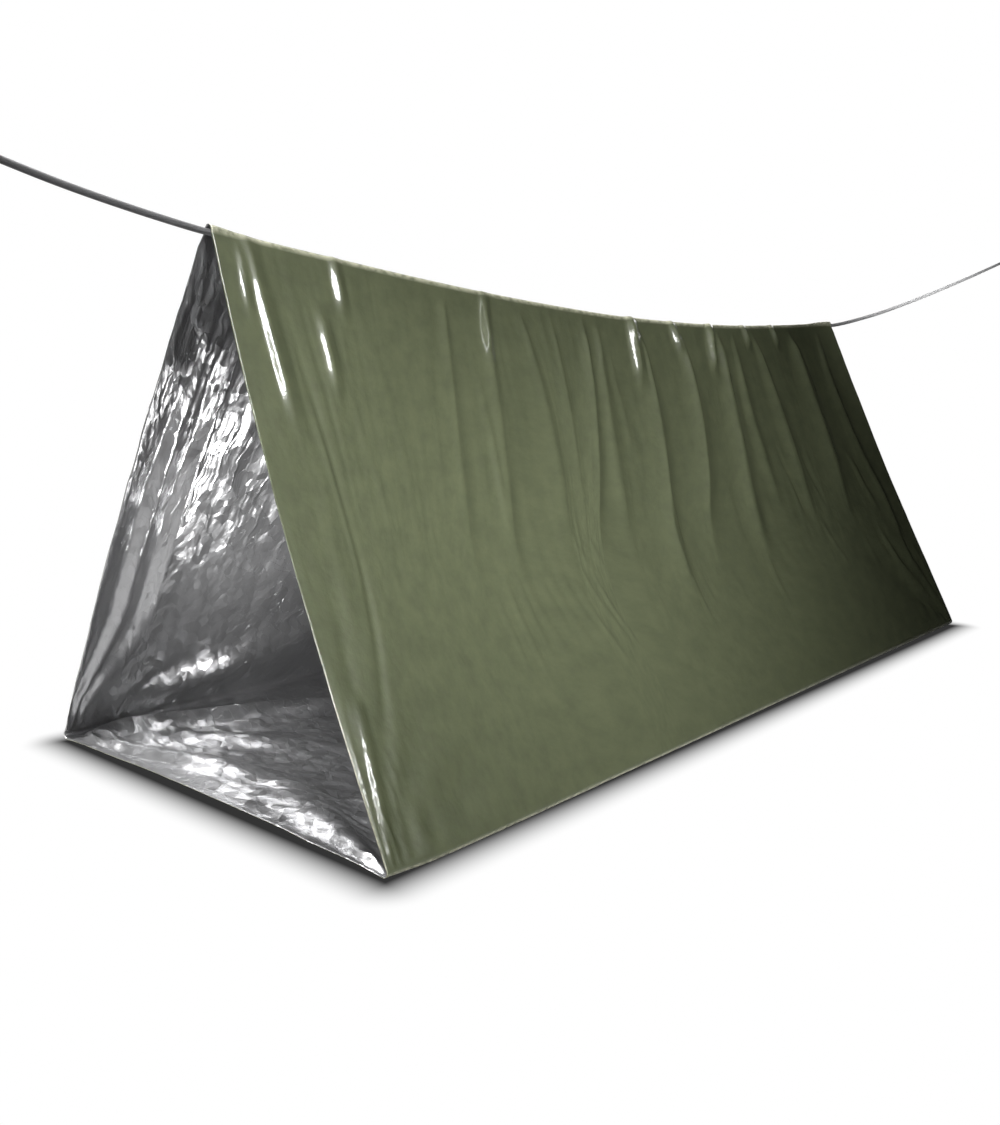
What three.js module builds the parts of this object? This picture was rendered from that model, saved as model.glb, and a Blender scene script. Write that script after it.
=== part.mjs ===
// Emergency tube tent: an open-ended sleeve of thin metallised film hung over a ridge rope, so that it stands
// as a triangle with a floor. X runs across the tent, Y along its ridge and Z up. The origin is on the ground,
// below the middle of the sleeve, and -Y is the end that the creased inside is seen through. All sizes are in
// millimetres.
import * as THREE from "three";

// The sleeve
const sleeveLength = 2400;
const filmThickness = 2;
const ropeRadius = 5.5;
const ropeClearance = 0.6;
const filmRadius = ropeRadius + ropeClearance + filmThickness;
const apexInset = { near: 52, far: 6 };
const insetPower = 2.2;
const farEdgeDip = 12;
const floorEdgeBow = 14;
const wallBow = 4;
const ridgeLips = [
  { y: -1150, lift: 5, run: 90 },
  { y: 1195, lift: 6, run: 190 },
];
const lipAtWall = 0.4;
const lipDownWall = 0.1;
const floorHalfWidths = [
  { y: -1200, half: 467 },
  { y: -1100, half: 477 },
  { y: -560, half: 473 },
  { y: 350, half: 463 },
  { y: 1200, half: 458 },
];

// The ridge rope's centre line: straight-pulled to its two ends and sagging where the sleeve hangs on it
const ropeRoute = [
  { y: -1530, z: 1002.5 },
  { y: -1475, z: 988.5 },
  { y: -1391, z: 970 },
  { y: -1299, z: 953.5 },
  { y: -1199, z: 938.5 },
  { y: -1148, z: 932.5 },
  { y: -1006, z: 920.5 },
  { y: -873, z: 910.5 },
  { y: -671, z: 896 },
  { y: -434, z: 882.5 },
  { y: -152, z: 872 },
  { y: 10, z: 869 },
  { y: 200, z: 870 },
  { y: 387, z: 873.5 },
  { y: 608, z: 882.5 },
  { y: 855, z: 898.5 },
  { y: 990, z: 909 },
  { y: 1133, z: 920.5 },
  { y: 1194, z: 924.5 },
  { y: 1249, z: 930 },
  { y: 1367, z: 948 },
  { y: 1620, z: 994 },
  { y: 1900, z: 1053 },
  { y: 2210, z: 1123 },
  { y: 2556, z: 1204 },
  { y: 2931, z: 1295 },
  { y: 3010, z: 1314.5 },
];
const ropeSides = 12;
const ropeSteps = 76;

// Knots and end loops, past the two ends of the seen rope
const pieceGap = 0.3;
const knotLength = 44;
const knotRadius = 15;
const knotTurns = 3;
const knotGroove = 2.5;
const knotSides = 16;
const loopLength = 90;
const loopWidth = 56;
const loopLeg = 12;
const loopBends = [
  { along: 32, aside: 0.72 },
  { along: 57, aside: 1 },
  { along: 77, aside: 0.66 },
];
const loopSides = 10;
const loopSteps = 30;

// Pleats that run down from the ridge and lean towards the near end. Each is a sharp crest between two
// swags, "near" and "far" wide, and is pinched at the ridge. Its crest is given at the ridge, at a quarter and
// at the half of the right wall's height, and at the half of the left wall's. It rises by the first number on
// the right wall and by the second on the left.
const pleats = [
  { ridge: -619, quarter: -704, right: -788, left: -700, rise: [4.2, 7], reach: 0.68, near: 60, far: 35 },
  { ridge: -505, quarter: -579, right: -669, left: -590, rise: [5.8, 5], reach: 0.68, near: 65, far: 40 },
  { ridge: -395, quarter: -425, right: -499, left: -470, rise: [5.2, 6], reach: 0.62, near: 70, far: 40 },
  { ridge: -285, quarter: -345, right: -440, left: -350, rise: [3, 6], reach: 0.58, near: 60, far: 30 },
  { ridge: -160, quarter: -255, right: -390, left: -260, rise: [8.5, 7], reach: 0.66, near: 90, far: 40 },
  { ridge: -105, quarter: -200, right: -294, left: -190, rise: [7, 5], reach: 0.66, near: 50, far: 50 },
  { ridge: 62, quarter: -4, right: -116, left: -20, rise: [12.5, 10], reach: 0.8, near: 100, far: 60 },
  { ridge: 241, quarter: 188, right: 54, left: 140, rise: [13.5, 8], reach: 0.7, near: 90, far: 75 },
  { ridge: 458, quarter: 366, right: 271, left: 350, rise: [15, 11], reach: 0.74, near: 85, far: 70 },
  { ridge: 543, quarter: 459, right: 410, left: 480, rise: [8.5, 6], reach: 0.6, near: 45, far: 50 },
  { ridge: 649, quarter: 626, right: 588, left: 620, rise: [11.5, 8], reach: 0.64, near: 60, far: 65 },
  { ridge: 882, quarter: 849, right: 811, left: 840, rise: [16.5, 12], reach: 0.66, near: 100, far: 100 },
  { ridge: 1083, quarter: 1026, right: 1052, left: 1050, rise: [10, 9], reach: 0.86, near: 65, far: 50 },
];
const pleatStart = 0.01;
const pleatFull = 0.1;
const pleatFade = 0.24;
const pinchedShare = 0.3;
const pleatWide = 0.32;

// Between the pleats and the two open ends the film leans less and less
const leanEnd = 0.5;
const leanRows = [
  { ridge: -1200, quarter: -1200, right: -1200, left: -1200 },
  { ridge: -1100, quarter: -1112.5, right: -1125, left: -1100 },
  { ridge: -1000, quarter: -1025, right: -1050, left: -1050 },
  ...pleats,
  { ridge: 1200, quarter: 1200, right: 1200, left: 1200 },
];

// Two sharp folds side by side along the left wall's open edge, which grow narrow towards the floor corner
const edgeFolds = [
  { at: 46, near: 34, far: 30, height: 16 },
  { at: 104, near: 26, far: 28, height: 14 },
];
const edgeFoldReach = { from: 0.2, full: 0.5, fade: 0.93, to: 0.99 };
const edgeFoldNarrowing = { from: 0.72, by: 0.8 };

// The low fold where the left wall's film slumps on to the floor, from the near corner inwards
const slump = { depth: 16, height: 0.915, spread: 0.075, start: 30, full: 170, end: 900 };

// Gathers that fan out over the right wall from its near and far floor corners
const cornerGathers = [
  { y: -1200, angle: 24, width: 8, depth: 5, from: 50, to: 420 },
  { y: -1200, angle: 52, width: 10, depth: 4, from: 50, to: 300 },
  { y: 1200, angle: 148, width: 13, depth: 9, from: 60, to: 620 },
  { y: 1200, angle: 121, width: 10, depth: -7, from: 60, to: 560 },
];
const fanFade = 0.4;

// Folds of the floor film, which fan out from its corners and stand up from the ground
const floorFolds = [
  { x: -465, y: -1200, angle: 71, width: 8, height: 16, from: 60, to: 860 },
  { x: -465, y: -1200, angle: 44, width: 9, height: 12, from: 70, to: 560 },
  { x: -465, y: -1200, angle: 17, width: 9, height: 10, from: 60, to: 520 },
  { x: 465, y: -1200, angle: 128, width: 11, height: 12, from: 70, to: 520 },
  { x: -458, y: 1200, angle: -58, width: 11, height: 10, from: 70, to: 620 },
  { x: 458, y: 1200, angle: -120, width: 11, height: 9, from: 70, to: 560 },
];
const floorFoldFlat = { level: 465, full: 380 };

// The grid of the film: its columns along the sleeve, and its rows down a wall and across the floor
const nearColumns = [
  -1200, -1188, -1171, -1154, -1139, -1124, -1110, -1096, -1068, -1000, -910, -810, -740, -680,
];
const farColumns = [1160, 1182, 1200];
const wallRows = [0.03, 0.07, 0.13, 0.22, 0.32, 0.42, 0.52, 0.63, 0.74, 0.83, 0.89, 0.94, 0.975];
const floorRows = [0.03, 0.08, 0.16, 0.27, 0.4, 0.54, 0.67, 0.78, 0.87, 0.93, 0.97];
const ridgeArcSteps = 5;
const footArcSteps = 4;

const filmMaterial = new THREE.MeshStandardMaterial({
  name: "metallised_film", color: 0x666b50, roughness: 0.28, metalness: 0.35, side: THREE.DoubleSide,
});
const ropeMaterial = new THREE.MeshStandardMaterial({
  name: "braided_cord", color: 0x616161, roughness: 0.75, metalness: 0,
});

const smoothstep = THREE.MathUtils.smoothstep;

// A bump that is 1 at zero and falls to 0 at plus and minus one, with level ends
function bump(offset) {
  return Math.abs(offset) >= 1 ? 0 : 0.5 + 0.5 * Math.cos(Math.PI * offset);
}

// A sharp fold that is 1 at zero and falls in straight flanks to 0 at plus and minus one
function crease(offset) {
  return THREE.MathUtils.clamp(1.06 - Math.hypot(offset, 0.06), 0, 1);
}

// A smooth curve through a table's values, with the slope at each row taken from its two neighbours
function through(table, key, y) {
  const last = table.length - 2;
  let row = 0;
  while (row < last && y > table[row + 1].y) row += 1;
  const slope = (index) => {
    const before = table[Math.max(index - 1, 0)];
    const after = table[Math.min(index + 1, table.length - 1)];
    return (after[key] - before[key]) / (after.y - before.y);
  };
  const start = table[row];
  const end = table[row + 1];
  const span = end.y - start.y;
  const u = (y - start.y) / span;
  const a = u * u * (3 - 2 * u);
  const b = u * (1 - u) * (1 - u) * span;
  const c = u * u * (u - 1) * span;
  return start[key] * (1 - a) + end[key] * a + slope(row) * b + slope(row + 1) * c;
}

const ropeHeight = (y) => through(ropeRoute, "z", y);
const floorHalf = (y) => through(floorHalfWidths, "half", y);

// How far the film stands above the rope along the ridge: a loose lip near each end
function lipLift(y) {
  return Math.max(...ridgeLips.map((lip) => lip.lift * bump((y - lip.y) / lip.run)));
}

// Where a column that starts at a place on the ridge crosses a wall. Down is 0 at the ridge and 1 at the floor.
// The column leans with the pleats beside it to the wall's half height, and bends back a little below that.
function leaned(base, down, side) {
  const last = leanRows.length - 2;
  let row = 0;
  while (row < last && base > leanRows[row + 1].ridge) row += 1;
  const before = leanRows[row];
  const after = leanRows[row + 1];
  const share = (base - before.ridge) / (after.ridge - before.ridge);
  const move = (key) => (before[key] - before.ridge) * (1 - share) + (after[key] - after.ridge) * share;
  const half = move(side > 0 ? "right" : "left");
  const quarter = side > 0 ? move("quarter") : half / 2;
  const straight = 4 * quarter - half;
  const run = Math.min(down / leanEnd, 1);
  const beyond = THREE.MathUtils.clamp(down / leanEnd - 1, 0, 1);
  const back = (2 * half - straight) * beyond * (1 - beyond) ** 2;
  return base + straight * run + (half - straight) * run * run + back;
}

// Height of the pleats above a wall
function pleatHeight(y, down, side) {
  const spread = pinchedShare + (1 - pinchedShare) * smoothstep(down, 0, pleatWide);
  let height = 0;
  for (const pleat of pleats) {
    const offset = y - leaned(pleat.ridge, down, side);
    const width = (offset < 0 ? pleat.near : pleat.far) * spread;
    const shape = Math.max(1 - Math.abs(offset) / width, 0) ** 2;
    const end = 1 - smoothstep(down, pleat.reach - pleatFade, pleat.reach);
    const fade = smoothstep(down, pleatStart, pleatFull) * end;
    height += pleat.rise[side > 0 ? 0 : 1] * shape * fade;
  }
  return height;
}

// Depth of a fan of folds at a point that lies along and up from a corner, in degrees and millimetres
function fanDepth(fold, along, up) {
  const distance = Math.hypot(along, up);
  const turn = THREE.MathUtils.radToDeg(Math.atan2(up, along)) - fold.angle;
  const fade = smoothstep(distance, 0, fold.from) * (1 - smoothstep(distance, fold.to * fanFade, fold.to));
  return bump(turn / fold.width) * fade;
}

function gatherDepth(y, down, slant) {
  let depth = 0;
  for (const fold of cornerGathers) depth += fold.depth * fanDepth(fold, y - fold.y, (1 - down) * slant);
  return depth;
}

function edgeFoldHeight(fromEdge, down) {
  const reach = edgeFoldReach;
  const fade = smoothstep(down, reach.from, reach.full) * (1 - smoothstep(down, reach.fade, reach.to));
  const narrowing = 1 - edgeFoldNarrowing.by * smoothstep(down, edgeFoldNarrowing.from, 1);
  let height = 0;
  for (const fold of edgeFolds) {
    const offset = fromEdge / narrowing - fold.at;
    height += fold.height * crease(offset / (offset < 0 ? fold.near : fold.far));
  }
  return height * fade;
}

function slumpDepth(fromEdge, down) {
  const rise = smoothstep(fromEdge, slump.start, slump.full);
  const fall = 1 - smoothstep(fromEdge, slump.full, slump.end);
  return slump.depth * rise * fall * bump((down - slump.height) / slump.spread);
}

function floorFoldHeight(x, y) {
  let height = 0;
  for (const fold of floorFolds) {
    const fade = 1 - smoothstep(Math.abs(x), floorFoldFlat.full, floorFoldFlat.level);
    height = Math.max(height, fold.height * fade * fanDepth(fold, x - fold.x, y - fold.y));
  }
  return height;
}

// The rows of one trip round the sleeve, from the middle of the ridge over the right wall, the floor and the
// left wall. Each says what it belongs to and how far it is along it.
const trip = [];
for (let i = 0; i <= ridgeArcSteps; i += 1) trip.push({ part: "ridge", at: i / ridgeArcSteps });
for (const at of wallRows) trip.push({ part: "right", at });
for (let i = 0; i <= footArcSteps; i += 1) trip.push({ part: "rightFoot", at: i / footArcSteps });
for (const at of floorRows) trip.push({ part: "floor", at });
for (let i = 0; i <= footArcSteps; i += 1) trip.push({ part: "leftFoot", at: i / footArcSteps });
for (const at of wallRows.toReversed()) trip.push({ part: "left", at });

// The columns along the sleeve, by their place on the ridge. A pleat has one on its crest, one at the foot
// of its far side, and one half way from there to the next crest.
const columns = [...nearColumns];
for (const [i, pleat] of pleats.entries()) {
  const foot = pleat.ridge + pleat.far;
  columns.push(pleat.ridge, foot);
  if (i + 1 < pleats.length) columns.push((foot + pleats[i + 1].ridge) / 2);
}
columns.push(...farColumns);

// Where a column crosses a row, before the two open edges are drawn in
function columnAt(column, row) {
  if (row.part === "ridge") return column;
  if (row.part === "right") return leaned(column, row.at, 1);
  if (row.part === "left") return leaned(column, row.at, -1);
  if (row.part === "rightFoot") return leaned(column, 1, 1);
  if (row.part === "leftFoot") return leaned(column, 1, -1);
  return leaned(column, 1, 1) * (1 - row.at) + leaned(column, 1, -1) * row.at;
}

// The open edges of the sleeve at a row: the ridge is drawn in, and the floor's near edge bows inwards
function edgesAt(row) {
  const half = sleeveLength / 2;
  if (row.part === "floor") return [-half + floorEdgeBow * Math.sin(Math.PI * row.at), half];
  const height = { ridge: 1, right: 1 - row.at, left: 1 - row.at, rightFoot: 0, leftFoot: 0 }[row.part];
  const draw = height ** insetPower;
  const dip = farEdgeDip * Math.sin(Math.PI * height) ** 2;
  return [-half + apexInset.near * draw, half - apexInset.far * draw - dip];
}

// One point of the film: a centre line that it wraps round or runs beside, the way it faces there, and how
// far it stands out
function filmPoint(column, row, radius) {
  const [nearEdge, farEdge] = edgesAt(row);
  const share = columnAt(column, row) / sleeveLength + 0.5;
  const y = nearEdge + share * (farEdge - nearEdge);
  const ridge = new THREE.Vector2(0, ropeHeight(y));
  const footX = floorHalf(y) - filmRadius;
  const foot = new THREE.Vector2(footX, filmRadius);
  const slant = foot.distanceTo(ridge);
  const wallAngle = Math.atan2(footX, ridge.y - foot.y);
  const side = row.part.startsWith("left") ? -1 : 1;
  let angle = wallAngle;
  let centre = ridge;
  let out = 0;
  if (row.part === "ridge") {
    angle = Math.PI - wallAngle - row.at * (Math.PI - 2 * wallAngle);
    out = lipLift(y) * (1 - (1 - lipAtWall) * (2 * row.at - 1) ** 2);
  } else if (row.part === "floor") {
    angle = -Math.PI / 2;
    centre = new THREE.Vector2(footX * (1 - 2 * row.at), filmRadius);
    out = -floorFoldHeight(centre.x, y);
  } else if (row.part.endsWith("Foot")) {
    const turn = row.part === "rightFoot" ? row.at : 1 - row.at;
    angle = wallAngle - turn * (wallAngle + Math.PI / 2);
    centre = foot;
  } else {
    centre = ridge.clone().lerp(foot, row.at);
    out = pleatHeight(y, row.at, side) - wallBow * Math.sin(Math.PI * row.at);
    if (side > 0) out -= gatherDepth(y, row.at, slant);
    else out += edgeFoldHeight(y - nearEdge, row.at) - slumpDepth(y - nearEdge, row.at);
    out += lipLift(y) * lipAtWall * bump(row.at / lipDownWall);
  }
  const reach = radius + out;
  const x = side * (centre.x + reach * Math.cos(angle));
  return row.part === "floor" ? [centre.x, y, centre.y - reach] : [x, y, centre.y + reach * Math.sin(angle)];
}

// The sleeve: an outer and an inner surface on the same grid, joined round the two open edges
function filmSleeve() {
  const positions = [];
  const index = [];
  for (const radius of [filmRadius, filmRadius - filmThickness]) {
    for (const column of columns) for (const row of trip) positions.push(...filmPoint(column, row, radius));
  }
  const around = trip.length;
  const layer = columns.length * around;
  const at = (surface, column, row) => surface * layer + column * around + (row % around);
  const quad = (a, b, c, d) => index.push(a, b, c, a, c, d);
  for (let column = 0; column + 1 < columns.length; column += 1) {
    for (let row = 0; row < around; row += 1) {
      quad(at(0, column, row), at(0, column, row + 1), at(0, column + 1, row + 1), at(0, column + 1, row));
      quad(at(1, column, row), at(1, column + 1, row), at(1, column + 1, row + 1), at(1, column, row + 1));
    }
  }
  const end = columns.length - 1;
  for (let row = 0; row < around; row += 1) {
    quad(at(0, 0, row), at(1, 0, row), at(1, 0, row + 1), at(0, 0, row + 1));
    quad(at(0, end, row), at(0, end, row + 1), at(1, end, row + 1), at(1, end, row));
  }
  const geometry = new THREE.BufferGeometry();
  geometry.setAttribute("position", new THREE.Float32BufferAttribute(positions, 3));
  geometry.setIndex(index);
  geometry.computeVertexNormals();
  return geometry;
}

function circle(radius, sides) {
  const shape = new THREE.Shape();
  for (let i = 0; i < sides; i += 1) {
    const angle = (2 * Math.PI * i) / sides;
    const place = [radius * Math.cos(angle), radius * Math.sin(angle)];
    if (i === 0) shape.moveTo(...place);
    else shape.lineTo(...place);
  }
  return shape;
}

// The rope from knot to knot, on the curve of its route
class RopeLine extends THREE.Curve {
  getPoint(share, target = new THREE.Vector3()) {
    const first = ropeRoute[0].y;
    const y = first + share * (ropeRoute.at(-1).y - first);
    return target.set(0, y, ropeHeight(y));
  }
}

function rope() {
  const section = circle(ropeRadius, ropeSides);
  return new THREE.ExtrudeGeometry(section, { extrudePath: new RopeLine(), steps: ropeSteps });
}

// A knot: turns of rope wound round the rope, here one barrel with a groove between each turn
function knot() {
  const turnLength = knotLength / knotTurns;
  const crown = 4;
  const profile = [new THREE.Vector2(0, 0)];
  for (let turn = 0; turn < knotTurns; turn += 1) {
    for (let i = 0; i <= crown; i += 1) {
      const share = i / crown;
      const radius = knotRadius - knotGroove * (2 * share - 1) ** 2;
      if (turn === 0 || i > 0) profile.push(new THREE.Vector2(radius, (turn + share) * turnLength));
    }
  }
  profile.push(new THREE.Vector2(0, knotLength));
  return new THREE.LatheGeometry(profile, knotSides);
}

// The end loop: a teardrop whose two legs leave the knot side by side
function endLoop() {
  const leg = ropeRadius + pieceGap;
  const wide = loopWidth / 2 - ropeRadius;
  const sideOf = (side) => [
    new THREE.Vector3(side * leg, 0, 0),
    new THREE.Vector3(side * leg, loopLeg / 2, 0),
    new THREE.Vector3(side * leg, loopLeg, 0),
    ...loopBends.map((bend) => new THREE.Vector3(side * wide * bend.aside, bend.along, 0)),
  ];
  const crown = new THREE.Vector3(0, loopLength - ropeRadius, 0);
  const path = new THREE.CatmullRomCurve3([...sideOf(-1), crown, ...sideOf(1).toReversed()]);
  return new THREE.ExtrudeGeometry(circle(ropeRadius, loopSides), { extrudePath: path, steps: loopSteps });
}

// A mesh whose own +Y points along a direction in the YZ plane, set off from a rope end by a distance
function endPiece(name, geometry, rowAtEnd, rowBefore, offset) {
  const mesh = new THREE.Mesh(geometry, ropeMaterial);
  const direction = new THREE.Vector3(0, rowAtEnd.y - rowBefore.y, rowAtEnd.z - rowBefore.z).normalize();
  mesh.name = name;
  mesh.quaternion.setFromUnitVectors(new THREE.Vector3(0, 1, 0), direction);
  mesh.position.set(0, rowAtEnd.y, rowAtEnd.z).addScaledVector(direction, offset);
  return mesh;
}

const tent = new THREE.Group();
const film = new THREE.Mesh(filmSleeve(), filmMaterial);
film.name = "film_sleeve";
const ridgeRope = new THREE.Mesh(rope(), ropeMaterial);
ridgeRope.name = "ridge_rope";
tent.add(film, ridgeRope);
for (const [name, end, before] of [["near", 0, 1], ["far", ropeRoute.length - 1, ropeRoute.length - 2]]) {
  const rows = [ropeRoute[end], ropeRoute[before]];
  tent.add(endPiece(`${name}_knot`, knot(), ...rows, pieceGap));
  tent.add(endPiece(`${name}_loop`, endLoop(), ...rows, knotLength + 2 * pieceGap));
}

export default tent;
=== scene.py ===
"""Emergency tube tent on a ridge rope: a sleeve of thin metallised film, olive outside and bright silver
inside, hung over a sagging cord. Metres, X across the tent, Y along its ridge, Z up, the origin on the ground
below the middle of the sleeve."""

import bpy
import numpy as np
from mathutils import Matrix, Vector


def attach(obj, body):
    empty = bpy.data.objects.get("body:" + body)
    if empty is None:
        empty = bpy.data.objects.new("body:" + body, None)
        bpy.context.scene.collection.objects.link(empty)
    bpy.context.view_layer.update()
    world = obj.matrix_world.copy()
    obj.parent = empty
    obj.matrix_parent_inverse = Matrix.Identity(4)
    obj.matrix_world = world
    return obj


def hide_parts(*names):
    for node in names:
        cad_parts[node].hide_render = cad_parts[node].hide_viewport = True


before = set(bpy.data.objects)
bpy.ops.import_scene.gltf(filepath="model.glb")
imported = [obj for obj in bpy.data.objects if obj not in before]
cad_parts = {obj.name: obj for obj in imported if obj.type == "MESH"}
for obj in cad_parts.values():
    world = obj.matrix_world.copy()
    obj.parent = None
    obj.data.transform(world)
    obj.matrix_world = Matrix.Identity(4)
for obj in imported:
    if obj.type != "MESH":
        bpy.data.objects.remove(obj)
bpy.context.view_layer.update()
scene = bpy.context.scene

# Camera
# It stands beside the visible wall, a little in front of the open end, at the photograph's height and lens.
# Its place was worked out from the sleeve's four corners and two ridge ends.
camera_data = bpy.data.cameras.new("camera")
camera_data.sensor_width = 36.0
camera_data.lens = 33.857
camera = bpy.data.objects.new("camera", camera_data)
scene.collection.objects.link(camera)
scene.camera = camera
camera_place = Vector((1.5059, -2.1641, 0.6703))
camera_yaw, camera_pitch, camera_roll = -0.7135, -0.1515, 0.0113   # radians
forward = Vector((np.sin(camera_yaw) * np.cos(camera_pitch), np.cos(camera_yaw) * np.cos(camera_pitch),
                  np.sin(camera_pitch)))
level = forward.cross(Vector((0, 0, 1))).normalized()
upright = level.cross(forward)
right = np.cos(camera_roll) * level + np.sin(camera_roll) * upright
up = np.cos(camera_roll) * upright - np.sin(camera_roll) * level
camera.matrix_world = Matrix.Translation(camera_place) @ Matrix((right, up, -forward)).transposed().to_4x4()

# Ridge rope
# An 11 mm braided cord, pulled taut past both ends of the sleeve and sagging where the sleeve hangs on it.
# The route is the solid's own: height above the ground at each place along the ridge.
rope_radius = 0.0055
rope_route = np.array([
    (-1.530, 1.0025), (-1.475, 0.9885), (-1.391, 0.9700), (-1.299, 0.9535), (-1.199, 0.9385),
    (-1.148, 0.9325), (-1.006, 0.9205), (-0.873, 0.9105), (-0.671, 0.8960), (-0.434, 0.8825),
    (-0.152, 0.8720), (0.010, 0.8690), (0.200, 0.8700), (0.387, 0.8735), (0.608, 0.8825), (0.855, 0.8985),
    (0.990, 0.9090), (1.133, 0.9205), (1.194, 0.9245), (1.249, 0.9300), (1.367, 0.9480), (1.620, 0.9940),
    (1.900, 1.0530), (2.210, 1.1230), (2.556, 1.2040), (2.931, 1.2950), (3.010, 1.3145),
])
rope_rings, rope_sides = 620, 20


def through(rows, place):
    """Cubic through rows of (place, value), where a row's slope is the one between its two neighbours."""
    at, value = rows[:, 0], rows[:, 1]
    before = np.maximum(np.arange(len(at)) - 1, 0)
    after = np.minimum(np.arange(len(at)) + 1, len(at) - 1)
    slope = (value[after] - value[before]) / (at[after] - at[before])
    row = np.clip(np.searchsorted(at, place) - 1, 0, len(at) - 2)
    span = at[row + 1] - at[row]
    u = (place - at[row]) / span
    rise = u * u * (3 - 2 * u)
    start_part = u * (1 - u) ** 2 * span * slope[row]
    end_part = u * u * (u - 1) * span * slope[row + 1]
    return value[row] * (1 - rise) + value[row + 1] * rise + start_part + end_part


def grid_faces(rows, columns, wrap, first=0):
    """Point numbers of each square of a grid of rows by columns; wrap joins the last column to the first."""
    row, column = np.meshgrid(np.arange(rows - 1), np.arange(columns if wrap else columns - 1), indexing="ij")
    beside = (column + 1) % columns
    corners = [row * columns + column, row * columns + beside, (row + 1) * columns + beside,
               (row + 1) * columns + column]
    return first + np.stack(corners, axis=-1).reshape(-1, 4)


def corner_values(values):
    """A value for each corner of each square of grid_faces, from values at rows by one column more."""
    corners = [values[:-1, :-1], values[:-1, 1:], values[1:, 1:], values[1:, :-1]]
    return np.stack(corners, axis=2).reshape(-1, values.shape[-1])


def add_piece(name, points, faces, uv, materials):
    """A smooth mesh object at the origin, from points, squares, and a UV value at each square's corners."""
    mesh = bpy.data.meshes.new(name)
    mesh.from_pydata(points.reshape(-1, 3), [], faces.tolist())
    layer = mesh.uv_layers.new(name="along_and_around")
    layer.data.foreach_set("uv", np.asarray(uv, dtype=np.float32).ravel())
    mesh.polygons.foreach_set("use_smooth", np.ones(len(faces), dtype=bool))
    for material in materials:
        mesh.materials.append(material)
    mesh.update()
    piece = bpy.data.objects.new(name, mesh)
    scene.collection.objects.link(piece)
    return piece


cap_rings, smallest_ring = 5, 0.00001


def tube(path, radius, sides, aside, round_end):
    """Rings along a path: each point plus radius times (cosine of the turn times the side vector plus sine of
    the turn times the third). aside is a vector that the path never runs along. With round_end the last rings
    close as half a ball. Returns the points, squares and corner UVs (turn, length)."""
    heading = np.gradient(path, axis=0)
    heading /= np.linalg.norm(heading, axis=1, keepdims=True)
    side = np.cross(heading, aside)
    side /= np.linalg.norm(side, axis=1, keepdims=True)
    third = np.cross(heading, side)
    reach = np.full(len(path), radius)
    if round_end:
        cap = np.linspace(0, np.pi / 2, cap_rings + 1)[1:]
        path = np.vstack([path[0] - radius * np.sin(cap[::-1, None]) * heading[0], path,
                          path[-1] + radius * np.sin(cap[:, None]) * heading[-1]])
        reach = np.concatenate([radius * np.cos(cap[::-1]), reach, radius * np.cos(cap)])
        side = np.vstack([np.repeat(side[:1], len(cap), 0), side, np.repeat(side[-1:], len(cap), 0)])
        third = np.vstack([np.repeat(third[:1], len(cap), 0), third, np.repeat(third[-1:], len(cap), 0)])
    turn = 2 * np.pi * np.arange(sides) / sides
    ring = np.cos(turn)[None, :, None] * side[:, None, :] + np.sin(turn)[None, :, None] * third[:, None, :]
    points = path[:, None, :] + np.maximum(reach, smallest_ring)[:, None, None] * ring
    length = np.concatenate([[0], np.cumsum(np.linalg.norm(np.diff(path, axis=0), axis=1))])
    around, along = np.meshgrid(np.arange(sides + 1) / sides, length)
    return points, grid_faces(len(path), sides, True), corner_values(np.stack([around, along], axis=-1))


def colour(code):
    """Linear red, green, blue and alpha of an sRGB hex code."""
    level = np.array([int(code[i:i + 2], 16) / 255 for i in (1, 3, 5)])
    linear = np.where(level <= 0.04045, level / 12.92, ((level + 0.055) / 1.055) ** 2.4)
    return (*linear, 1.0)


def add_node(tree, kind, values=(), links=(), **settings):
    """Adds a shader node with its settings, its inputs' values by name or number, and links from sockets."""
    node = tree.nodes.new(kind)
    for name, value in settings.items():
        setattr(node, name, value)
    for key, value in dict(values).items():
        node.inputs[key].default_value = value
    for key, socket in dict(links).items():
        tree.links.new(socket, node.inputs[key])
    return node


def add_material(name):
    """An empty node material with its shader and output. Returns the material, its tree and the shader."""
    material = bpy.data.materials.new(name)
    material.use_nodes = True
    tree = material.node_tree
    tree.nodes.clear()
    shader = add_node(tree, "ShaderNodeBsdfPrincipled")
    add_node(tree, "ShaderNodeOutputMaterial", links={"Surface": shader.outputs["BSDF"]})
    return material, tree, shader


# The cord's sheath: polyester yarn braided over a core, dyed mid grey. It is matt, with the braid's crossing
# yarns as a fine diamond relief, 16 yarns round the cord and one crossing each 2.6 mm along it, and its grey
# is painted a shade darker down in the hollows between the yarns.
rope_sheath, tree, shader = add_material("braided_polyester_sheath")
shader.inputs["Roughness"].default_value = 0.72
shader.inputs["Sheen Weight"].default_value = 0.25
shader.inputs["Sheen Roughness"].default_value = 0.5
yarns_each_way = 8
yarn_pitch = 0.0052
yarn_relief = 0.0002
place = add_node(tree, "ShaderNodeTexCoord")
split = add_node(tree, "ShaderNodeSeparateXYZ", links={0: place.outputs["UV"]})
turns = add_node(tree, "ShaderNodeMath", {1: yarns_each_way}, {0: split.outputs["X"]}, operation="MULTIPLY")
steps = add_node(tree, "ShaderNodeMath", {1: 1 / yarn_pitch}, {0: split.outputs["Y"]}, operation="MULTIPLY")
yarn_waves = []
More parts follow.
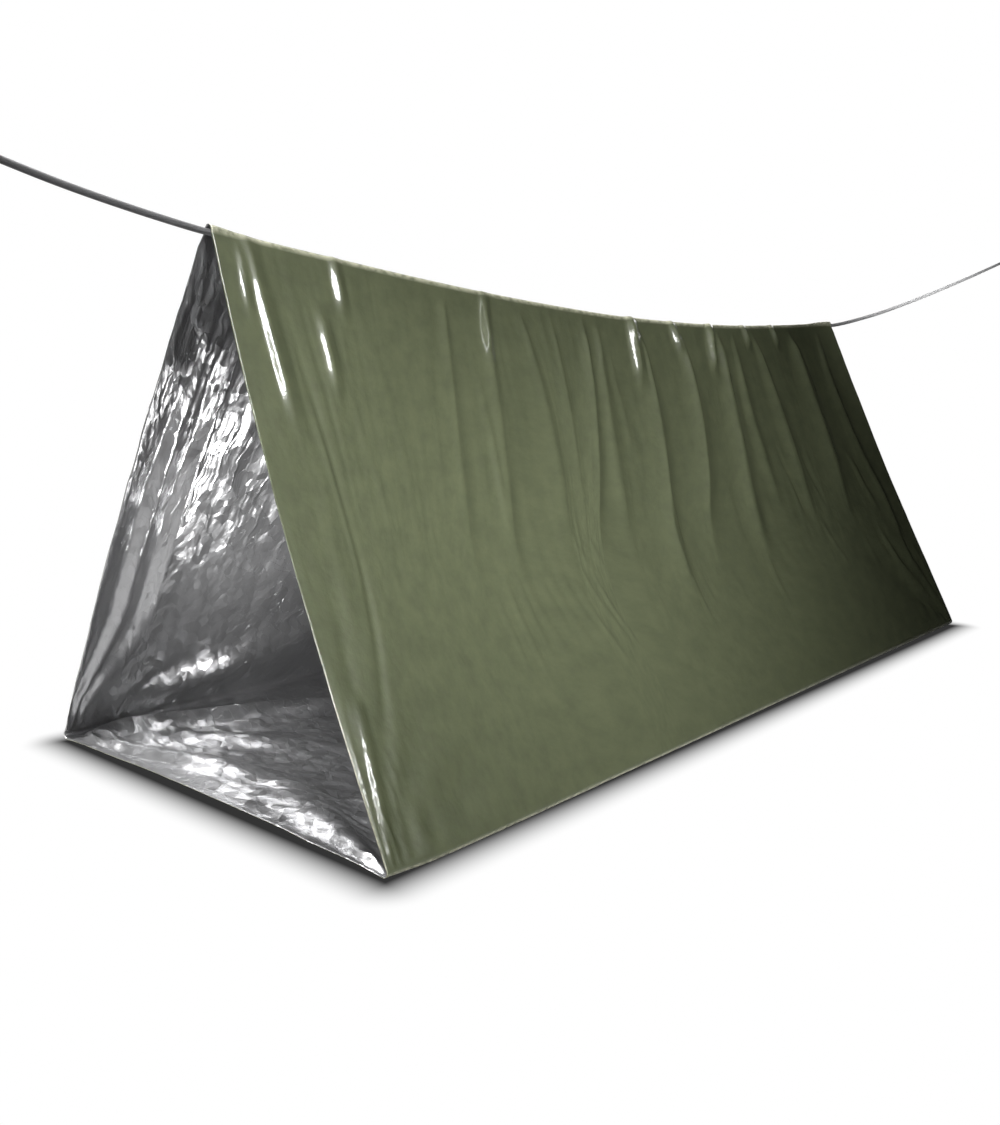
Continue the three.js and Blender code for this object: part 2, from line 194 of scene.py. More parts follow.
for direction in ("ADD", "SUBTRACT"):
    slope = add_node(tree, "ShaderNodeMath", links={0: turns.outputs[0], 1: steps.outputs[0]},
                     operation=direction)
    angle = add_node(tree, "ShaderNodeMath", {1: np.pi}, {0: slope.outputs[0]}, operation="MULTIPLY")
    wave = add_node(tree, "ShaderNodeMath", links={0: angle.outputs[0]}, operation="SINE")
    yarn_waves.append(add_node(tree, "ShaderNodeMath", links={0: wave.outputs[0]}, operation="ABSOLUTE"))
braid = add_node(tree, "ShaderNodeMath", links={0: yarn_waves[0].outputs[0], 1: yarn_waves[1].outputs[0]},
                 operation="MULTIPLY")
relief = add_node(tree, "ShaderNodeBump", {"Strength": 0.5, "Distance": yarn_relief},
                  {"Height": braid.outputs[0]})
# painted shade: the grey is a little darker where the braid's relief is low
grey_with_hollow_shade = add_node(tree, "ShaderNodeMix", {6: colour("#707071"), 7: colour("#777778")},
                       {0: braid.outputs[0]}, data_type="RGBA")
tree.links.new(grey_with_hollow_shade.outputs[2], shader.inputs["Base Color"])
tree.links.new(relief.outputs["Normal"], shader.inputs["Normal"])

rope_along = np.linspace(rope_route[0, 0], rope_route[-1, 0], rope_rings)
rope_path = np.stack([np.zeros(rope_rings), rope_along, through(rope_route, rope_along)], axis=1)
rope = add_piece("ridge_cord", *tube(rope_path, rope_radius, rope_sides, (1, 0, 0), False), [rope_sheath])
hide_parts("ridge_rope")
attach(rope, "root")

# Knots and end loops
# At each end the cord goes straight through a barrel of its own turns, makes a teardrop loop, comes back into
# the barrel beside itself and is wound three times round the standing part. The short free end leaves by the
# first turn.
piece_gap = 0.0003
knot_length = 0.044
turn_count, turn_steps = 3, 40
turn_radius = 0.0097
strand_radius = 0.0051
tail_length, tail_aside = 0.018, 0.0012
knot_sides, core_sides, loop_sides, loop_rings = 16, 12, 16, 120
loop_length, loop_half_width = 0.090, 0.0225
leg_aside = rope_radius + piece_gap
# one leg of the loop: distance past the knot, distance beside the rope's line
leg_rows = np.array([(0.000, leg_aside), (0.006, leg_aside), (0.012, leg_aside), (0.032, 0.0162),
                     (0.057, loop_half_width), (0.077, 0.0149), (loop_length - rope_radius, 0.0)])
for name, end, before in (("near", 0, 1), ("far", -1, -2)):
    rope_end = np.array([0, *rope_route[end]])
    ahead = rope_end - np.array([0, *rope_route[before]])
    ahead /= np.linalg.norm(ahead)
    lift = np.cross(ahead, (1, 0, 0))

    # the turns: a helix about the rope's line, with its free end led off along the outside
    turn = np.linspace(0, 2 * np.pi * turn_count, turn_steps * turn_count)
    along = piece_gap + strand_radius + (knot_length - 2 * strand_radius) * turn / turn[-1]
    winding = (rope_end + along[:, None] * ahead + turn_radius * np.cos(turn)[:, None] * np.array([1, 0, 0])
               + turn_radius * np.sin(turn)[:, None] * lift)
    tail = winding[0] - np.linspace(1, 0.1, 8)[:, None] * tail_length * ahead + np.array([tail_aside, 0, 0])
    winding = np.vstack([tail, winding])
    points, faces, uv = tube(winding, strand_radius, knot_sides, ahead + 0.02 * lift, True)
    core = rope_end + np.linspace(piece_gap, knot_length, 12)[:, None] * ahead
    core_points, core_faces, core_uv = tube(core, turn_radius - strand_radius, core_sides, (1, 0, 0), False)
    knot = add_piece(f"{name}_barrel_knot", np.vstack([points.reshape(-1, 3), core_points.reshape(-1, 3)]),
                     np.vstack([faces, core_faces + points.size // 3]), np.vstack([uv, core_uv]),
                     [rope_sheath])
    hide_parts(f"{name}_knot")

    # the loop: two legs side by side that swell into a teardrop
    sides = np.concatenate([leg_rows[:, 1], -leg_rows[-2::-1, 1]])
    lengths = np.concatenate([leg_rows[:, 0], leg_rows[-2::-1, 0]])
    chord = np.concatenate([[0], np.cumsum(np.hypot(np.diff(sides), np.diff(lengths)))])
    travel = np.linspace(0, chord[-1], loop_rings)
    aside = through(np.stack([chord, sides], axis=1), travel)
    along = through(np.stack([chord, lengths], axis=1), travel)
    loop_path = (rope_end + (knot_length + 2 * piece_gap + along)[:, None] * ahead
                 + aside[:, None] * np.array([1, 0, 0]))
    loop = add_piece(f"{name}_loop_cord", *tube(loop_path, rope_radius, loop_sides, lift, False),
                     [rope_sheath])
    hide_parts(f"{name}_loop")
    for piece in (knot, loop):
        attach(piece, "root")

# Film sleeve
# One tube of metallised film, 2.40 m long and 3.03 m round, that makes both walls and the floor. It is laid
# over the rope and spread on the ground by its corners, so its walls hang in leaning pleats and its corners
# gather.
sleeve_length = 2.400
film_radius = 0.0081
film_thickness = 0.0005
apex_inset = {"near": 0.052, "far": 0.006}
inset_power = 2.2
far_edge_dip = 0.012
floor_edge_bow = 0.014
wall_bow = 0.004
ridge_lips = [(-1.150, 0.005, 0.090), (1.195, 0.006, 0.190)]   # place, lift, run
lip_at_wall = 0.4
lip_down_wall = 0.1
floor_half_widths = np.array([(-1.200, 0.467), (-1.100, 0.477), (-0.560, 0.473), (0.350, 0.463),
                              (1.200, 0.458)])

# pleats: crest at the ridge, at a quarter and at half of the right wall, and at half of the left wall, then
# their height on each wall, how far down they reach, and the width of the near and of the far side
pleats = np.array([
    # ridge   quarter   right    left   high_r  high_l reach near   far
    (-0.619, -0.704, -0.788, -0.700, 0.0042, 0.007, 0.68, 0.060, 0.035),
    (-0.505, -0.579, -0.669, -0.590, 0.0058, 0.005, 0.68, 0.065, 0.040),
    (-0.395, -0.425, -0.499, -0.470, 0.0052, 0.006, 0.62, 0.070, 0.040),
    (-0.285, -0.345, -0.440, -0.350, 0.0030, 0.006, 0.58, 0.060, 0.030),
    (-0.160, -0.255, -0.390, -0.260, 0.0085, 0.007, 0.66, 0.090, 0.040),
    (-0.105, -0.200, -0.294, -0.190, 0.0070, 0.005, 0.66, 0.050, 0.050),
    (0.062, -0.004, -0.116, -0.020, 0.0125, 0.010, 0.80, 0.100, 0.060),
    (0.241, 0.188, 0.054, 0.140, 0.0135, 0.008, 0.70, 0.090, 0.075),
    (0.458, 0.366, 0.271, 0.350, 0.0150, 0.011, 0.74, 0.085, 0.070),
    (0.543, 0.459, 0.410, 0.480, 0.0085, 0.006, 0.60, 0.045, 0.050),
    (0.649, 0.626, 0.588, 0.620, 0.0115, 0.008, 0.64, 0.060, 0.065),
    (0.882, 0.849, 0.811, 0.840, 0.0165, 0.012, 0.66, 0.100, 0.100),
    (1.083, 1.026, 1.052, 1.050, 0.0100, 0.009, 0.86, 0.065, 0.050),
])
pleat_start, pleat_full, pleat_fade = 0.010, 0.10, 0.24
pinched_share, pleat_wide = 0.30, 0.32

# how far the film before the first pleat has moved at half of the wall: its place on the ridge, the move of
# the right and of the left wall
near_moves = np.array([(-1.200, 0.0, 0.0), (-1.100, -0.025, 0.0), (-1.000, -0.050, -0.050)])
crest_rounding = 0.06


def bump(offset):
    """1 at zero, falling to 0 at plus and minus one with level ends: half of one plus a half turn's
    cosine."""
    return np.where(np.abs(offset) < 1, 0.5 + 0.5 * np.cos(np.pi * np.clip(offset, -1, 1)), 0.0)


def crease(offset):
    """A sharp fold, 1 at zero and 0 at plus and minus one, with straight flanks and a crest a little round:
    one plus the rounding, less the root of the offset's square plus the rounding's square."""
    return np.clip(1 + crest_rounding - np.sqrt(offset * offset + crest_rounding ** 2), 0, 1)


def ease(value, low, high):
    """0 below low, 1 above high and an S between: three times the square less twice the cube of the share."""
    share = np.clip((value - low) / (high - low), 0, 1)
    return share * share * (3 - 2 * share)


def lean(base, down, side):
    """How far a column that starts at base on the ridge has moved along the sleeve, a share down of the wall:
    a curve through the moves of the pleats beside it at a quarter and at half of the wall, which then bends
    back. Before the first pleat, and on the left wall, the move at a quarter is half of the one at half."""
    known = [*near_moves[:, 0], *pleats[:, 0], sleeve_length / 2]
    near, middle = (near_moves[:, 1], pleats[:, 2]) if side > 0 else (near_moves[:, 2], pleats[:, 3])
    half_move = np.interp(base, known, [*near, *(middle - pleats[:, 0]), 0])
    quarter_move = half_move / 2
    if side > 0:
        quarter_move = np.interp(base, known, [*(near / 2), *(pleats[:, 1] - pleats[:, 0]), 0])
    share, beyond = np.clip(down / 0.5, 0, 1), np.clip(down / 0.5 - 1, 0, 1)
    straight = 4 * quarter_move - half_move
    back = (2 * half_move - straight) * beyond * (1 - beyond) ** 2
    return straight * share + (half_move - straight) * share ** 2 + back


def pleat_height(y, down, side):
    """Height of the pleats above the wall. Each is pinched at the rope and widens down the wall. Both its
    sides are swags, the square of the share of their width, that meet in a sharp crest."""
    height = np.zeros(np.broadcast(y, down).shape)
    for ridge, _, _, _, high_right, high_left, reach, near, far in pleats:
        crest = ridge + lean(np.array(ridge), down, side)
        offset = y - crest
        spread_out = pinched_share + (1 - pinched_share) * ease(down, 0, pleat_wide)
        shape = np.clip(1 - np.abs(offset) / (np.where(offset < 0, near, far) * spread_out), 0, 1) ** 2
        fade = ease(down, pleat_start, pleat_full) * (1 - ease(down, reach - pleat_fade, reach))
        height += (high_right if side > 0 else high_left) * shape * fade
    return height


def rope_height(y):
    """Height of the rope's centre above the ground."""
    return through(rope_route, y)


def lip_lift(y):
    """How far the film stands above the rope along the ridge: a loose lip near each end."""
    return np.max([lift * bump((y - place) / run) for place, lift, run in ridge_lips], axis=0)


# folds of the left wall's open edge, side by side: distance from the edge, width of the near and the far
# side, height outwards; below them the shares of the wall between which they grow, end and get narrower, and
# by how much
edge_folds = [(0.049, 0.037, 0.024, 0.0200), (0.108, 0.035, 0.024, 0.0180)]
edge_fold_growth, edge_fold_end = (0.20, 0.50), (0.93, 0.99)
edge_fold_narrowing, edge_fold_narrower = (0.72, 1.0), 0.8

# the left wall slumps inwards along a line that climbs from the near corner: the line's place (distance from
# the edge, share down the wall), how deep the slump is, how much of the wall it takes above the line, and how
# it starts and ends along the sleeve
slump_line = np.array([(0.00, 0.975), (0.14, 0.955), (0.30, 0.917), (0.42, 0.882), (0.55, 0.845),
                       (1.00, 0.800)])
slump_depth, slump_above = 0.024, 0.055
slump_start, slump_full, slump_end = 0.040, 0.300, 0.950

# gathers that fan out over a wall from a floor corner: side, corner's place along the sleeve, angle above
# the ground and half width in degrees, depth inwards, then where along it the gather starts and ends
gathers = [
    (1, -1.200, 24, 8, 0.0050, 0.050, 0.420),
    (1, -1.200, 52, 10, 0.0040, 0.050, 0.300),
    (1, -1.200, 81, 3.5, 0.0014, 0.030, 0.620),
    (1, -1.200, 86.5, 3.0, -0.0014, 0.020, 0.420),
    (1, -1.200, 71, 3.0, 0.0012, 0.030, 0.450),
    (1, -1.200, 63, 3.0, -0.0020, 0.020, 0.300),
    (1, -1.200, 14, 3.0, 0.0030, 0.030, 0.360),
    (1, -1.200, 7, 2.5, -0.0020, 0.030, 0.500),
    (1, 1.200, 148, 13, 0.0090, 0.060, 0.620),
    (1, 1.200, 121, 10, -0.0070, 0.060, 0.560),
    (1, 1.200, 136, 3.5, -0.0030, 0.030, 0.480),
    (1, 1.200, 112, 3.0, 0.0030, 0.030, 0.440),
    (1, 1.200, 158, 4.0, -0.0035, 0.030, 0.560),
    (1, 1.200, 102, 3.0, -0.0025, 0.020, 0.340),
    (-1, -1.200, 16, 5, -0.0040, 0.030, 0.420),
    (-1, -1.200, 34, 5, 0.0050, 0.030, 0.330),
    (-1, -1.200, 50, 5, -0.0035, 0.030, 0.300),
    (-1, -1.200, 64, 4, 0.0040, 0.030, 0.360),
    (-1, 1.200, 150, 9, 0.0080, 0.050, 0.560),
    (-1, 1.200, 124, 8, -0.0060, 0.050, 0.480),
    (-1, 1.200, 104, 4, 0.0030, 0.030, 0.360),
]
gather_fade = 0.4

# folds of the floor that fan out from its corners: corner, angle from +X and half width in degrees, height,
# start and end
floor_folds = [
    (-0.465, -1.200, 66, 6.5, 0.028, 0.060, 0.980),
    (-0.465, -1.200, 56, 3.5, 0.014, 0.040, 0.700),
    (-0.465, -1.200, 40, 7, 0.016, 0.070, 0.620),
    (-0.465, -1.200, 17, 7, 0.016, 0.060, 0.640),
    (0.465, -1.200, 128, 11, 0.014, 0.070, 0.520),
    (0.465, -1.200, 160, 13, 0.015, 0.050, 0.560),
    (-0.458, 1.200, -58, 11, 0.010, 0.070, 0.620),
    (0.458, 1.200, -120, 11, 0.009, 0.070, 0.560),
    (-0.465, -1.200, 53, 2.5, 0.006, 0.030, 0.480),
    (-0.465, -1.200, 31, 3.0, 0.005, 0.030, 0.430),
    (-0.465, -1.200, 83, 2.5, 0.006, 0.040, 0.640),
    (-0.465, -1.200, 6, 2.5, 0.004, 0.020, 0.340),
    (0.465, -1.200, 150, 3.0, 0.005, 0.030, 0.380),
    (0.465, -1.200, 166, 3.0, 0.005, 0.020, 0.420),
    (0.465, -1.200, 108, 3.0, 0.005, 0.030, 0.460),
]
floor_fold_level, floor_fold_full = 0.465, 0.415

# the first and longest of them: its direction, the grid row that follows its crest, how far over the floor
# that row may move, and between which places along the sleeve it goes back
crest_turn, crest_share = np.radians(floor_folds[0][2]), 0.78
crest_limits, crest_back = (0.55, 0.97), (-0.35, 0.45)

# steep little folds where the film is pinched at the rope and at the near corner, with flat sides that catch
# a light: along the sleeve and down the slope for both ends, the width of the near and far side, and the
# height
pinches = [
    # s0     t0     s1     t1     near   far    height
    (0.122, -0.080, 0.097, 0.355, 0.015, 0.026, 0.0064),
    (0.100, 0.020, 0.076, 0.145, 0.010, 0.012, 0.0046),
    (0.229, 0.115, 0.208, 0.270, 0.014, 0.020, 0.0070),
    (0.313, -0.050, 0.284, 0.115, 0.014, 0.018, 0.0074),
    (0.724, -0.050, 0.646, 0.145, 0.014, 0.020, 0.0062),
    (1.267, -0.060, 1.170, 0.180, 0.020, 0.026, 0.0140),
    (1.435, -0.040, 1.412, 0.090, 0.016, 0.022, 0.0120),
    (1.645, -0.050, 1.546, 0.140, 0.017, 0.022, 0.0152),
    (1.810, -0.040, 1.801, 0.060, 0.013, 0.020, 0.0115),
    (1.982, -0.040, 1.973, 0.060, 0.013, 0.020, 0.0118),
    (0.042, 0.770, 0.014, 1.040, 0.019, 0.014, 0.0048),
]
pinch_end = 0.14
pinch_at_ridge, pinch_full, pinch_over_ridge = 0.4, 0.020, 0.35

# single creases of the right wall, each from one place to another: along the sleeve from its near end and
# down the slope for both ends, the sideways bow, the half width of its near and far side, and its height
creases = [
    # s0     t0     s1     t1     bow     near   far    height
    (0.140, 0.300, 0.120, 0.640, 0.004, 0.008, 0.008, 0.0014),
    (0.150, 0.150, 0.140, 0.520, 0.004, 0.010, 0.010, -0.0016),
    (0.140, 0.500, 0.000, 1.020, 0.030, 0.012, 0.012, -0.0024),
    (0.190, 0.080, 0.170, 0.420, 0.004, 0.009, 0.009, -0.0012),
    (0.235, 0.120, 0.225, 0.560, 0.004, 0.012, 0.010, 0.0010),
    (0.330, 0.100, 0.300, 0.480, 0.006, 0.012, 0.010, 0.0009),
    (0.585, 0.180, 0.520, 0.480, 0.010, 0.008, 0.010, 0.0020),
    (0.560, 0.260, 0.500, 0.560, 0.008, 0.007, 0.009, 0.0015),
    (0.690, 0.080, 0.650, 0.300, 0.004, 0.009, 0.009, 0.0012),
    (1.085, 0.100, 1.020, 0.370, 0.006, 0.010, 0.010, 0.0020),
    (1.100, 0.440, 1.052, 0.620, 0.004, 0.007, 0.011, 0.0026),
    (1.052, 0.580, 1.072, 0.780, -0.006, 0.007, 0.010, 0.0022),
    (0.884, 0.560, 0.866, 0.640, 0.002, 0.006, 0.008, 0.0022),
    (0.918, 0.550, 0.912, 0.600, 0.000, 0.005, 0.007, 0.0018),
    (0.868, 0.640, 0.880, 0.800, -0.005, 0.007, 0.009, 0.0018),
    (0.900, 0.660, 0.912, 0.760, -0.003, 0.007, 0.008, 0.0012),
    (0.418, 0.640, 0.432, 0.800, -0.004, 0.007, 0.008, 0.0013),
    (0.452, 0.610, 0.476, 0.810, -0.005, 0.007, 0.008, 0.0016),
    (0.486, 0.600, 0.506, 0.780, -0.005, 0.007, 0.008, 0.0014),
    (0.502, 0.620, 0.560, 0.790, -0.008, 0.007, 0.009, 0.0018),
    (0.545, 0.600, 0.586, 0.740, -0.008, 0.007, 0.009, 0.0015),
    (0.576, 0.620, 0.648, 0.800, -0.010, 0.007, 0.009, 0.0021),
    (0.606, 0.600, 0.684, 0.780, -0.010, 0.007, 0.009, 0.0020),
    (0.644, 0.620, 0.724, 0.810, -0.010, 0.007, 0.009, 0.0021),
    (0.680, 0.610, 0.756, 0.780, -0.010, 0.007, 0.009, 0.0018),
    (0.712, 0.620, 0.790, 0.810, -0.010, 0.007, 0.009, 0.0019),
    (0.690, 0.560, 0.742, 0.640, -0.006, 0.008, 0.009, 0.0016),
    (0.742, 0.560, 0.776, 0.640, -0.006, 0.008, 0.009, 0.0014),
    (1.096, 0.620, 1.120, 0.760, -0.005, 0.007, 0.009, 0.0014),
    (1.235, 0.640, 1.262, 0.780, -0.005, 0.008, 0.009, 0.0012),
    (1.424, 0.640, 1.446, 0.800, -0.005, 0.008, 0.012, 0.0024),
    (1.500, 0.620, 1.462, 0.780, 0.006, 0.009, 0.010, 0.0024),
    (1.524, 0.600, 1.580, 0.740, -0.006, 0.009, 0.010, 0.0024),
    (1.620, 0.600, 1.664, 0.720, -0.006, 0.009, 0.010, 0.0018),
    (1.716, 0.360, 1.734, 0.580, 0.005, 0.010, 0.010, -0.0030),
    (1.838, 0.380, 1.872, 0.550, 0.005, 0.010, 0.010, -0.0030),
    (1.800, 0.600, 1.862, 0.740, -0.006, 0.009, 0.012, 0.0022),
    (2.020, 0.660, 2.074, 0.800, -0.006, 0.010, 0.012, 0.0022),
    (2.150, 0.440, 2.190, 0.620, -0.006, 0.012, 0.022, 0.0050),
    (2.140, 0.660, 2.320, 0.950, -0.030, 0.016, 0.024, 0.0070),
    (2.090, 0.040, 2.080, 0.240, 0.004, 0.020, 0.024, 0.0040),
    (1.500, 0.820, 1.930, 0.650, 0.012, 0.007, 0.007, 0.0014),
    (1.800, 0.860, 2.330, 0.990, 0.020, 0.022, 0.014, -0.0040),
    (0.200, 0.600, 0.640, 0.625, 0.004, 0.006, 0.006, 0.0009),
    (0.640, 0.580, 1.040, 0.610, 0.004, 0.006, 0.006, 0.0010),
]
crease_end = 0.22

# the pinched line just above the ground on both long sides
foot_line_height, foot_line_width, foot_line_depth = 0.027, 0.009, 0.0018
foot_line_start, foot_line_end = (0.06, 0.3), (1.7, 2.2)
ridge_ease, foot_ease = 0.02, 0.985   # the shares of the wall between which its relief is full

# crumples: height, then size along the sleeve and down the wall, and where they fade out. The right wall's
# long ones are where the film is slack, and its small ones all over, but for the pinched folds. The left
# wall's are higher at the near end, where a long set lies under the ridge.
slack_crumple, slack_size, slack_slant, slack_fade = 0.0008, (0.060, 0.26), 0.30, (0.50, 0.80)
small_crumple, small_size = 0.0004, 0.070
pinch_smoothing = 0.0015
left_crumple, left_more, left_size, near_end_fade = 0.0010, 0.0016, 0.085, (0.5, 1.1)
upper_crumple, upper_size, upper_slant, upper_fade = 0.0026, (0.034, 0.22), 0.4, (0.30, 0.50)
slump_crumple, slump_size = 0.0030, (0.055, 0.050)
floor_crumple, floor_size, floor_crumple_fade = 0.0016, 0.10, (0.40, 0.455)
floor_calmer, floor_calmer_run = 0.5, (-0.6, 0.2)


def value_noise(u, v, seed):
    """Smooth uneven heights from -1 to 1: random values on a square lattice, joined by S curves in its
    cells."""
    cells = 64
    lattice = np.random.default_rng(seed).uniform(-1, 1, (cells, cells))
    cell_u, cell_v = np.floor(u).astype(int), np.floor(v).astype(int)
    share_u, share_v = ease(u - cell_u, 0, 1), ease(v - cell_v, 0, 1)
    u0, u1, v0, v1 = cell_u % cells, (cell_u + 1) % cells, cell_v % cells, (cell_v + 1) % cells
    low = lattice[u0, v0] * (1 - share_u) + lattice[u1, v0] * share_u
    high = lattice[u0, v1] * (1 - share_u) + lattice[u1, v1] * share_u
    return low * (1 - share_v) + high * share_v


def crumple(u, v, seed):
    """Sharp-ridged crumples from -1 to 1: three noises, each half the size and half the height of the last,
    folded over at zero."""
    total = np.zeros(np.broadcast(u, v).shape)
    for octave in range(3):
        fold = 1 - 4 * np.abs(value_noise(u * 2 ** octave + 7 * octave, v * 2 ** octave, seed + octave))
        total += np.clip(fold, -1, 1) / 2 ** octave
    return total / (1 + 1 / 2 + 1 / 4)


def fan(along, up, angle, width, start, end):
    """A fold that fans out from a corner: a bump across its angle, which starts and ends along its length.
    along and up are the place as seen from the corner."""
    distance = np.hypot(along, up)
    turn = np.degrees(np.arctan2(up, along)) - angle
    return bump(turn / width) * ease(distance, 0, start) * (1 - ease(distance, end * gather_fade, end))


def beside_line(s, t, s0, t0, s1, t1, end):
    """Where a place lies beside the line from s0, t0 to s1, t1: the share along it, the distance across it,
    and a fade at both its ends, over the share end of its length."""
    length = np.hypot(s1 - s0, t1 - t0)
    share = ((s - s0) * (s1 - s0) + (t - t0) * (t1 - t0)) / length ** 2
    across = ((s - s0) * (t1 - t0) - (t - t0) * (s1 - s0)) / length
    return share, across, ease(share, 0, end) * (1 - ease(share, 1 - end, 1))


def pinch_height(s, t):
    """Height of the pinched folds at s along the sleeve from its near end and t down the slope."""
    height = np.zeros(np.broadcast(s, t).shape)
    for s0, t0, s1, t1, near, far, high in pinches:
        _, across, fade = beside_line(s, t, s0, t0, s1, t1, pinch_end)
        height += high * fade * crease(across / np.where(across < 0, near, far))
    return height * (pinch_at_ridge + (1 - pinch_at_ridge) * ease(t, 0, pinch_full))


def right_relief(s, t, pinched):
    """Creases and crumples of the right wall, at s along the sleeve and t down the slope, added up. A crease
    is a bump across a bowed line, and the crumples stop where the film is pinched."""
    out = np.zeros(np.broadcast(s, t).shape)
    for s0, t0, s1, t1, bow, near, far, height in creases:
        share, across, fade = beside_line(s, t, s0, t0, s1, t1, crease_end)
        across = across - 4 * bow * share * (1 - share)
        out += height * fade * bump(across / np.where(across < 0, near, far))
    smooth = 1 - ease(pinched, 0, pinch_smoothing)
    slack = 1 - ease(t, *slack_fade)
    drawn_out = crumple(s / slack_size[0] + t / slack_slant, t / slack_size[1], 11)
    return (out + slack_crumple * slack * smooth * drawn_out
            + small_crumple * smooth * crumple(s / small_size, t / small_size, 21))


def left_relief(s, t, down, from_edge):
    """Edge folds, slump and crumples of the left wall, added up. A fold is a crease across the distance from
    the open edge, and the slump is a bump across its line, inwards."""
    narrowing = 1 - edge_fold_narrower * ease(down, *edge_fold_narrowing)
    fade = ease(down, *edge_fold_growth) * (1 - ease(down, *edge_fold_end))
    out = np.zeros(np.broadcast(s, t).shape)
    for place, near, far, height in edge_folds:
        offset = from_edge / narrowing - place
        out += height * fade * crease(offset / np.where(offset < 0, near, far))
    along = ease(from_edge, slump_start, slump_full) * (1 - ease(from_edge, slump_full, slump_end))
    line = np.interp(from_edge, slump_line[:, 0], slump_line[:, 1])
    sag = down - line
    out -= slump_depth * along * bump(sag / np.where(sag < 0, slump_above, 1 - line))
    creased = crumple(s / slump_size[0] + 5.1, t / slump_size[1], 61)
    out += slump_crumple * along * bump(sag / slump_above) * creased
    near_end = 1 - ease(s, *near_end_fade)
    out += (left_crumple + left_more * near_end) * crumple(s / left_size + 3.3, t / left_size, 31)
    upper = (1 - ease(t, *upper_fade)) * near_end
    drawn_out = crumple(s / upper_size[0], t / upper_size[1] + upper_slant * s / upper_size[0], 41)
    return out + upper_crumple * upper * drawn_out


def wall_relief(y, down, slant, from_edge, side):
    """How far a wall's film stands out from the plane between ridge and foot: its sag, pleats, gathers,
    creases and crumples, added up."""
    s, t = y + sleeve_length / 2, down * slant
    pinched = pinch_height(s, t) if side > 0 else 0
    out = pleat_height(y, down, side) - wall_bow * np.sin(np.pi * down)
    out += lip_lift(y) * lip_at_wall * bump(down / lip_down_wall)
    for on_side, corner, angle, width, depth, start, end in gathers:
        if on_side == side:
            out -= depth * fan(y - corner, (1 - down) * slant, angle, width, start, end)
    above = (1 - down) * slant
    line = bump((above - foot_line_height) / foot_line_width)
    out -= foot_line_depth * line * ease(s, *foot_line_start) * (1 - ease(s, *foot_line_end))
    out += right_relief(s, t, pinched) if side > 0 else left_relief(s, t, down, from_edge)
    return (out * ease(down, 0, ridge_ease) + pinched) * (1 - ease(down, foot_ease, 1))


def floor_relief(x, y):
    """Height of the floor's folds above the ground, the highest of them at each place, plus low crumples."""
    height = np.zeros(np.broadcast(x, y).shape)
    fade = 1 - ease(np.abs(x), floor_fold_full, floor_fold_level)
    for corner_x, corner_y, angle, width, high, start, end in floor_folds:
        shape = fan(x - corner_x, y - corner_y, angle, width, start, end)
        height = np.maximum(height, high * fade * shape)
    low = floor_crumple * (1 + crumple(x / floor_size, y / floor_size, 51))
    low = low * (1 - ease(np.abs(x), *floor_crumple_fade))
    return height + low * (1 - floor_calmer * ease(y, *floor_calmer_run))


# rows of the grid round the sleeve, as shares of each stretch, closer together where the folds are small
ridge_rows = np.linspace(0, 1, 7)
foot_rows = np.linspace(0, 1, 6)
right_rows = np.concatenate([np.linspace(0.008, 0.09, 5), np.linspace(0.11, 0.50, 15),
                             np.linspace(0.515, 0.80, 20), np.linspace(0.825, 0.955, 6),
                             np.linspace(0.975, 0.992, 2)])
left_rows = np.concatenate([np.linspace(0.008, 0.05, 3), np.linspace(0.07, 0.86, 34),
                            np.linspace(0.88, 0.992, 9)])
floor_rows = np.concatenate([np.linspace(0.012, 0.10, 4), np.linspace(0.15, 0.46, 6),
                             np.linspace(0.50, crest_share, 9), np.linspace(0.81, 0.988, 7)])

# columns of the grid along the sleeve: where a span starts, and the distance between its columns
column_spans = [(-1.200, 0.0040), (-1.165, 0.0050), (-0.880, 0.0080), (-0.660, 0.0062), (-0.160, 0.0080),
                (0.010, 0.0045), (0.070, 0.0085), (0.205, 0.0050), (0.245, 0.0085), (0.375, 0.0050),
                (0.430, 0.0090), (0.585, 0.0050), (0.625, 0.0092), (0.755, 0.0050), (0.795, 0.0095),
                (1.150, 0.0065), (1.200, 0.0)]
columns = np.concatenate([np.arange(start, stop - step / 2, step)
                          for (start, step), (stop, _) in zip(column_spans, column_spans[1:])] + [[1.2]])


def edges(part, row):
    """Where the near and the far open edge lie along the sleeve at a row: the ridge is drawn in, and the
    floor's near edge bows inwards."""
    half = sleeve_length / 2
    if part == "floor":
        return -half + floor_edge_bow * np.sin(np.pi * row), np.full_like(row, half)
    height = {"ridge": 1 + 0 * row, "right": 1 - row, "left": 1 - row}.get(part, 0 * row)
    draw = height ** inset_power
    near = -half + apex_inset["near"] * draw
    return near, half - apex_inset["far"] * draw - far_edge_dip * np.sin(np.pi * height) ** 2


def follow_crest(row, y):
    """Share across the floor of each grid row at y: rows squeeze together on one side of the longest fold's
    crest and spread on its other side, so that the crest runs along one row until the fold has ended."""
    half = through(floor_half_widths, y) - film_radius
    corner_x, corner_y = floor_folds[0][:2]
    crest = (half - corner_x - (y - corner_y) / np.tan(crest_turn)) / (2 * half)
    back = ease(y, *crest_back)
    crest = np.clip(crest, *crest_limits) * (1 - back) + crest_share * back
    beyond = 1 - (1 - row) * (1 - crest) / (1 - crest_share)
    return np.where(row < crest_share, row * crest / crest_share, beyond)


